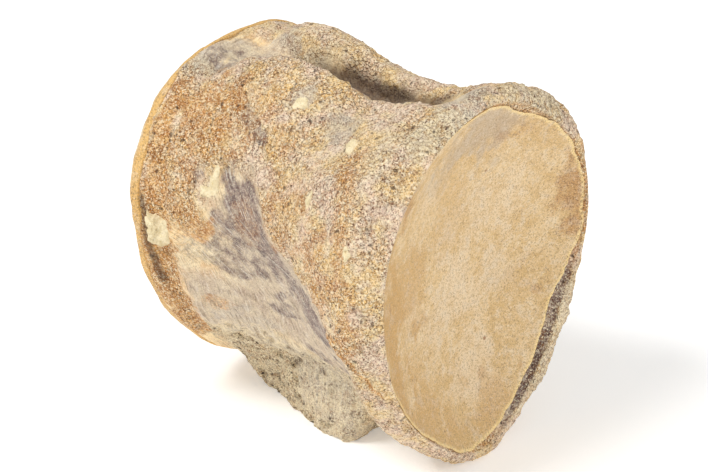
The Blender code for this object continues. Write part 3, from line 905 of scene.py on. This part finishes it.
class Recipe:
    """One finish: its material, its shader and the ways to add nodes to it."""

    def __init__(self, name):
        self.material = bpy.data.materials.new(name)
        self.material.use_nodes = True
        self.tree = self.material.node_tree
        self.shader = self.tree.nodes["Principled BSDF"]
        place = self.node("ShaderNodeTexCoord")
        scaled = self.node("ShaderNodeMapping", {}, {"Vector": Signal(self, place.outputs["Object"]),
                                                     "Scale": (1 / MM, 1 / MM, 1 / MM)})
        self.place = Signal(self, scaled.outputs[0])

    def node(self, kind, settings=None, inputs=None):
        """Adds a node: its settings first, then the value or link of each socket."""
        made = self.tree.nodes.new(kind)
        for name, value in (settings or {}).items():
            setattr(made, name, value)
        for name, value in (inputs or {}).items():
            if isinstance(value, Signal):
                self.tree.links.new(value.socket, made.inputs[name])
            else:
                made.inputs[name].default_value = value
        return made

    def mark(self, name):
        """A mark that the mesh carries on its points."""
        made = self.node("ShaderNodeAttribute", {"attribute_name": name})
        return Signal(self, made.outputs["Fac"])

    def noise(self, size, detail=3.0, keep=0.6, place=None):
        """Noise from 0 to 1 with features about `size` mm wide."""
        made = self.node("ShaderNodeTexNoise", {}, {"Vector": place or self.place, "Scale": 1.0 / size,
                                                    "Detail": detail, "Roughness": keep})
        return Signal(self, made.outputs[0])

    def cells(self, size, place=None):
        """Distance to the nearest scattered point, in parts of `size` mm, and that point's number."""
        made = self.node("ShaderNodeTexVoronoi", {},
                         {"Vector": place or self.place, "Scale": 1.0 / size})
        split = self.node("ShaderNodeSeparateColor", {}, {0: Signal(self, made.outputs["Color"])})
        return Signal(self, made.outputs["Distance"]), Signal(self, split.outputs[0])

    def rise(self, signal, start, end):
        """0 below start and 1 above end, eased between; falls instead if start is the larger."""
        low, high = min(start, end), max(start, end)
        made = self.node("ShaderNodeMapRange", {"interpolation_type": "SMOOTHSTEP"},
                         {"Value": signal, "From Min": low, "From Max": high})
        eased = Signal(self, made.outputs[0])
        return eased if start < end else 1.0 - eased

    def blend(self, under, over, share):
        """Mixes two colours, or lays a colour over another by a share."""
        made = self.node("ShaderNodeMix", {"data_type": "RGBA"}, {0: share, 6: under, 7: over})
        return Signal(self, made.outputs[2])

    def stretched(self, scale, turn):
        """The place turned and with each axis scaled, for brushed patterns."""
        made = self.node("ShaderNodeMapping", {},
                         {"Vector": self.place, "Scale": scale, "Rotation": turn})
        return Signal(self, made.outputs[0])

    def shaken(self, far, size):
        """The place pushed about by noise, `far` mm at most, so that cells lose their straight walls."""
        push = self.node("ShaderNodeTexNoise", {},
                         {"Vector": self.place, "Scale": 1.0 / size, "Detail": 2.0})
        made = self.node("ShaderNodeVectorMath", {"operation": "MULTIPLY_ADD"},
                         {0: Signal(self, push.outputs["Color"]), 1: (2 * far,) * 3, 2: self.place})
        return Signal(self, made.outputs[0])

    def lanes(self):
        """A place made of the marks that run across and along the fibres."""
        made = self.node("ShaderNodeCombineXYZ", {},
                         {0: self.mark("across_fibres"), 1: self.mark("along_fibres")})
        return Signal(self, made.outputs[0])

    def finish(self, colour, roughness, height, depth):
        """Sends colour, roughness and a height in parts of `depth` mm to the shader."""
        made = self.node("ShaderNodeBump", {},
                         {"Height": height, "Distance": depth * MM, "Strength": 1.0})
        for name, signal in (("Base Color", colour), ("Roughness", roughness),
                             ("Normal", Signal(self, made.outputs[0]))):
            if isinstance(signal, Signal):
                self.tree.links.new(signal.socket, self.shader.inputs[name])
            else:
                self.shader.inputs[name].default_value = signal
        return self.material


def paint(red, green, blue):
    """A colour from its screen values of 0 to 255, turned linear by the usual screen curve:
    ((v + 0.055) / 1.055) to the power 2.4, and v / 12.92 near black."""
    v = np.array([red, green, blue]) / 255.0
    linear = np.where(v <= 0.04045, v / 12.92, ((v + 0.055) / 1.055) ** 2.4)
    return (*linear.tolist(), 1.0)


# %% [markdown]
# ## Weathered bone: noises and ground
# The side of the centrum has one finish with many parts, laid over each other like glazes. First come
# the noises that all parts share, and a buff ground: pinkish, golden and cream on the scars, grey on
# the smooth cortex, pale on spongy bone. A single noise ramp would give colour too, but no bone.

# %% The bone's noises and ground
def bone_noises(r):
    """Noises of several sizes: blotch, drift and lump shape tones, dust and speck are as fine as
    sand, grain and coarse are cells with numbers of their own, and fibre runs along the cortex."""
    n = SimpleNamespace(blotch=r.noise(7.0, 4.0), lump=r.noise(2.4, 5.0, 0.65),
                        dust=r.noise(0.42, 3.0, 0.75), drift=r.noise(5.0, 3.0, 0.5),
                        speck=r.noise(0.30, 2.0, 0.8), fibre=r.noise(1.0, 3.0, 0.6, r.lanes()))
    n.grain, n.own = r.cells(0.62, r.shaken(0.25, 0.9))
    n.coarse, n.coarse_own = r.cells(1.5, r.shaken(0.8, 1.6))
    return n


def bone_ground(r, n):
    """Buff in two tones, then the tones of the scars, the cortex and spongy bone by their marks."""
    colour = r.blend(paint(254, 228, 178), paint(242, 196, 130),
                     r.rise(n.lump * 0.6 + n.blotch * 0.4, 0.42, 0.60))
    pinkish = r.mark("scar") * r.rise(n.drift * 0.7 + n.lump * 0.3, 0.44, 0.60)
    colour = r.blend(colour, paint(246, 216, 194), pinkish * 0.85)
    golden = r.mark("scar") * r.rise(n.drift * 0.7 + n.lump * 0.3, 0.50, 0.36)
    colour = r.blend(colour, paint(250, 204, 124), golden * 0.6)
    colour = r.blend(colour, paint(255, 242, 216), r.mark("scar") * r.rise(n.lump, 0.54, 0.66) * 0.5)
    cortex = r.blend(paint(216, 198, 170), paint(186, 166, 148),
                     r.rise(n.lump * 0.5 + n.fibre * 0.5, 0.40, 0.60))
    colour = r.blend(colour, cortex, r.mark("valley") * 0.92)
    return r.blend(colour, paint(232, 216, 180), r.mark("spongy") * 0.85)


# %% [markdown]
# ## Weathered bone: stains
# Cream, olive, mauve and rust lie where the marks say so. A smooth edge would look airbrushed, so
# each mark is shaken by lumps, dust and fibres before it is eased to a share.

# %% The bone's stains
# Each stain: mark, two tones, cover, how far lumps break it up, how far fibres do
BONE_STAINS = (
    ("cream", (246, 230, 194), (226, 206, 164), 0.85, 0.9, 0.2),
    ("olive", (220, 208, 184), (184, 174, 160), 0.75, 1.5, 0.4),
    ("mauve", (162, 140, 130), (92, 72, 74), 0.94, 2.2, 0.8),
    ("rust", (248, 190, 106), (200, 130, 54), 0.88, 1.4, 0.0),
)


def bone_stains(r, n, colour):
    """Each stain's two tones over the colour: its share is the mark plus noise, eased, times cover."""
    for name, fresh, deep, cover, spread, lace in BONE_STAINS:
        tone = r.blend(paint(*fresh), paint(*deep),
                       r.rise(n.own * 0.2 + n.lump * 0.4 + n.fibre * 0.4, 0.38, 0.60))
        patch = r.mark(name) + (n.lump - 0.5) * spread + (n.dust - 0.5) * 1.3 + (n.fibre - 0.5) * lace
        share = r.rise(patch, 0.05, 0.95)
        colour = r.blend(colour, tone, share * r.rise(r.mark(name), 0.0, 0.45) * cover)
    return colour


# %% [markdown]
# ## Weathered bone: grain
# Broken faces are a crust of grains with dark gaps, pores and pale crystals, and spongy bone has
# larger holes. The mesh carries the forms of a millimetre and more; only the finer grain is colour
# and a slight bump, because a mesh that fine would be too heavy.

# %% The bone's grain
def bone_grain(r, n, colour, broken):
    """The colour with its grains, gaps, specks, pores, pockets and cavities, and a height from 0 to
    about 2 that is lower in gaps and pockets."""
    cavity = r.rise(r.noise(1.7, 4.0, 0.7), 0.43, 0.34) * r.mark("spongy")
    granular = broken * (0.55 + 0.45 * r.rise(n.blotch, 0.38, 0.60))
    gap = r.rise(n.grain, 0.46, 0.76) * (0.10 + 0.90 * granular)
    pore = r.rise(n.dust, 0.41, 0.29) * (granular * 0.9 + 0.2)
    open_bone = broken * 0.8 + 0.1 + r.mark("spongy") * 0.4
    pocket = r.rise(n.coarse, 0.28, 0.12) * r.rise(n.coarse_own, 0.62, 0.74) * open_bone
    colour = r.blend(colour, paint(214, 156, 86), r.rise(n.own, 0.66, 0.88) * granular * 0.34)
    colour = r.blend(colour, paint(246, 232, 206), r.rise(n.own, 0.36, 0.12) * granular * 0.45)
    colour = r.blend(colour, paint(134, 84, 46), gap * 0.42)
    colour = r.blend(colour, paint(112, 68, 38), r.rise(n.speck, 0.48, 0.33) * (granular * 0.70 + 0.46))
    colour = r.blend(colour, paint(255, 240, 206), r.rise(n.speck, 0.53, 0.64) * (granular * 0.70 + 0.44))
    colour = r.blend(colour, paint(84, 56, 40), pore * 0.50)
    colour = r.blend(colour, paint(70, 46, 34), pocket * 0.75)
    colour = r.blend(colour, paint(92, 66, 46), cavity * 0.74)
    height = (1.0 - gap) * 0.6 + n.dust * 0.6 + n.speck * 0.25 + n.lump * 0.4 - pocket * 0.8
    return colour, height


# %% The centrum's finish
def weathered_bone():
    """Ground, stains and grain, then fibres on smooth bone and painted shade in the neural canal and
    along the crease before the dome. `broken` says how open the surface is: a sum of the marks of
    broken zones, less those of smooth stains."""
    r = Recipe("weathered_bone")
    n = bone_noises(r)
    broken = r.rise(r.mark("scar") + r.mark("collar") + r.mark("rust") * 0.8 + r.mark("spongy") * 0.75
                    + (n.lump - 0.5) * 0.9 - r.mark("olive") * 0.5 - r.mark("mauve") * 0.7, 0.15, 0.85)
    combed = (1.0 - broken) * (1.0 - r.mark("canal") * 0.7) * (0.6 + 0.4 * r.rise(n.lump, 0.44, 0.56))
    colour, height = bone_grain(r, n, bone_stains(r, n, bone_ground(r, n)), broken)
    colour = r.blend(colour, paint(112, 90, 76), r.rise(n.fibre, 0.49, 0.35) * combed * 0.65)
    colour = r.blend(colour, paint(240, 230, 210), r.rise(n.fibre, 0.53, 0.67) * combed * 0.60)
    # Painted shade: dark brown where the deep mark says the canal and the crease lie in shade
    shade = r.mark("deep") * (0.84 + 0.12 * r.rise(n.dust, 0.56, 0.40))
    colour = r.blend(colour, paint(66, 44, 32), shade)
    height = height * (broken * 0.8 + 0.2) + n.fibre * combed * 0.25
    return r.finish(colour, 0.60 + broken * 0.2, height, 0.50)


centrum.data.materials.append(weathered_bone())
print("weathered_bone has", len(centrum.data.materials[0].node_tree.nodes), "nodes")

# %% [markdown]
# ## Worn joint faces
# The hollow face is satin, ochre and yellow, with pale clouds, brushed streaks and a few rust spots.
# The dome has the same dense bone with more wear. One recipe makes both from a few tones of their
# own, and the mark that says how near the rim is draws a thin line of another tone along the edge.
# A painted image could show the clouds too, but noise and named stains stay sharp from close by.

# %% The joint faces' finishes
# Each stain: mark, tone, cover
FACE_TONES = (
    ("pale", (232, 208, 172), 0.75),
    ("ochre", (198, 150, 74), 0.85),
    ("mauve", (184, 164, 140), 0.72),
    ("rust", (184, 128, 62), 0.72),
)


def joint_bone(name, warm, pale, edge, wear):
    """Satin bone from warm to pale in clouds and streaks, with stains where the marks say so, rust
    spots, worn grain by its share of wear, and an edge tone along the rim."""
    r = Recipe(name)
    cloud, lump, grain = r.noise(6.0, 5.0, 0.65), r.noise(2.2, 4.0, 0.65), r.noise(0.40, 3.0, 0.8)
    fleck = r.noise(0.26, 2.0, 0.8)
    brushed = r.noise(0.7, 3.0, 0.6, r.stretched((1.0, 0.55, 1.4), (-0.6, 0.0, 0.0)))
    mixed = cloud * 0.35 + lump * 0.40 + brushed * 0.25
    colour = r.blend(paint(*warm), paint(*pale), r.rise(mixed, 0.38, 0.62))
    for stain, tone, cover in FACE_TONES:
        patch = r.mark(stain) + (lump - 0.5) * 1.2 + (cloud - 0.5) * 1.2 + (grain - 0.5) * 1.2
        share = r.rise(patch, -0.05, 1.3)
        colour = r.blend(colour, paint(*tone), share * r.rise(r.mark(stain), 0.0, 0.6) * cover)
    colour = r.blend(colour, paint(*edge), r.rise(r.mark("rim"), 0.975, 0.995) * 0.85)
    colour = r.blend(colour, paint(222, 206, 182), r.rise(lump * 0.8 + brushed * 0.2, 0.50, 0.64) * 0.32)
    spot, own = r.cells(5.5)
    rust_spot = r.rise(spot, 0.09, 0.03) * r.rise(own, 0.74, 0.78)
    colour = r.blend(colour, paint(150, 96, 50), rust_spot * 0.8)
    colour = r.blend(colour, paint(138, 104, 66), r.rise(grain, 0.50, 0.34) * wear)
    colour = r.blend(colour, paint(116, 84, 54), r.rise(fleck, 0.46, 0.30) * wear)
    colour = r.blend(colour, paint(120, 78, 36), r.rise(grain, 0.52, 0.38) * r.mark("rust") * 0.6)
    colour = r.blend(colour, paint(252, 240, 214), r.rise(fleck, 0.56, 0.74) * wear)
    height = grain * 0.5 + lump * 0.5 + brushed * 0.4
    return r.finish(colour, 0.42 + grain * 0.2, height, 0.14 + 0.1 * wear)


cotyle_bone = joint_bone("cotyle_bone", (212, 176, 118), (232, 204, 158), (250, 220, 154), 0.60)
condyle_bone = joint_bone("condyle_bone", (232, 196, 136), (240, 216, 172), (230, 182, 102), 0.70)
cotyle_face.data.materials.append(cotyle_bone)
condyle_face.data.materials.append(condyle_bone)

# %% [markdown]
# ## Chalky rock
# The crumbs are the last of the chalk that the bone lay in: matt and cream, with yellow dust and dark
# specks. One flat colour would look like plaster, so noises of three sizes break it up.

# %% The rock's finish
def chalky_rock():
    """Cream chalk in two tones, with yellow dust and small dark and white specks."""
    r = Recipe("chalky_rock")
    lump, grain, speck = r.noise(1.6, 4.0), r.noise(0.5, 3.0, 0.7), r.noise(0.28, 2.0, 0.8)
    colour = r.blend(paint(248, 232, 194), paint(228, 210, 168), r.rise(lump, 0.40, 0.62))
    colour = r.blend(colour, paint(222, 196, 132), r.rise(grain, 0.50, 0.70) * 0.5)
    colour = r.blend(colour, paint(132, 112, 84), r.rise(speck, 0.42, 0.26) * 0.6)
    colour = r.blend(colour, paint(250, 246, 228), r.rise(speck, 0.58, 0.76) * 0.6)
    return r.finish(colour, 0.85, lump * 0.4 + grain * 0.4 + speck * 0.3, 0.35)


chalk = chalky_rock()
for piece in crumb_pieces:
    piece.data.materials.append(chalk)

# %% [markdown]
# ## Floor and light
# The bone lies on plain pale paper in a bright room, under two soft lamps: one from the upper left
# that draws its forms, and one before the hollow face that keeps it light. A studio photograph would
# use a light tent; the world's even white does the same work here.

# %% Floor, lamps and room
FLOOR_SIZE = 6.0
PAPER_GLOW, ROOM_LIGHT = 0.25, 0.48
WHITE = (1.0, 1.0, 1.0, 1.0)
floor_mesh = bpy.data.meshes.new("floor")
corner = FLOOR_SIZE / 2
floor_corners = [(-corner, -corner, 0), (corner, -corner, 0), (corner, corner, 0), (-corner, corner, 0)]
floor_mesh.from_pydata(floor_corners, [], [(0, 1, 2, 3)])
floor = bpy.data.objects.new("floor", floor_mesh)
bpy.context.scene.collection.objects.link(floor)
paper = Recipe("paper")
floor_mesh.materials.append(paper.finish(paint(253, 253, 252), 0.9, paper.noise(0.6), 0.02))
paper.shader.inputs["Emission Color"].default_value = WHITE
paper.shader.inputs["Emission Strength"].default_value = PAPER_GLOW
floor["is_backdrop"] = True


def soft_lamp(name, place, size, watts):
    """A square lamp at a place in metres that faces the middle of the bone: its back is the way from
    there to the lamp, and its sides are crossed from that and the upright."""
    data = bpy.data.lights.new(name, "AREA")
    data.size = size
    data.energy = watts
    lamp = bpy.data.objects.new(name, data)
    back = np.array(place) - AIM
    back = back / np.linalg.norm(back)
    side_way = np.cross([0.0, 0.0, 1.0], back)
    side_way = side_way / np.linalg.norm(side_way)
    turn = np.eye(4)
    turn[:3, 0], turn[:3, 1], turn[:3, 2] = side_way, np.cross(back, side_way), back
    turn[:3, 3] = place
    lamp.matrix_world = turn.T.tolist()
    bpy.context.scene.collection.objects.link(lamp)


soft_lamp("key_lamp", (-0.25, -0.55, 0.95), 0.36, 6.9)
soft_lamp("front_lamp", (1.00, 0.05, 0.60), 0.5, 3.6)
room = bpy.data.worlds.new("room")
room.use_nodes = True
room.node_tree.nodes["Background"].inputs["Color"].default_value = WHITE
room.node_tree.nodes["Background"].inputs["Strength"].default_value = ROOM_LIGHT
bpy.context.scene.world = room
bpy.context.scene.view_settings.view_transform = "Standard"

# %% [markdown]
# ## Handing over
# Each piece rides on the one body, and together they replace the plain solid. The two boxes are
# printed so that the sizes can be compared.

# %% Frame calls and sizes
for piece in (centrum, cotyle_face, condyle_face, *crumb_pieces):
    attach(piece, "root")
    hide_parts("vertebra")

dressed_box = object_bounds()
plain_lists = {"cad": np.array(cad_box).tolist(), "visual": np.array(dressed_box).tolist()}
for whose, box in plain_lists.items():
    print(whose, "box in mm", np.round(np.array(box) / MM, 1).tolist())
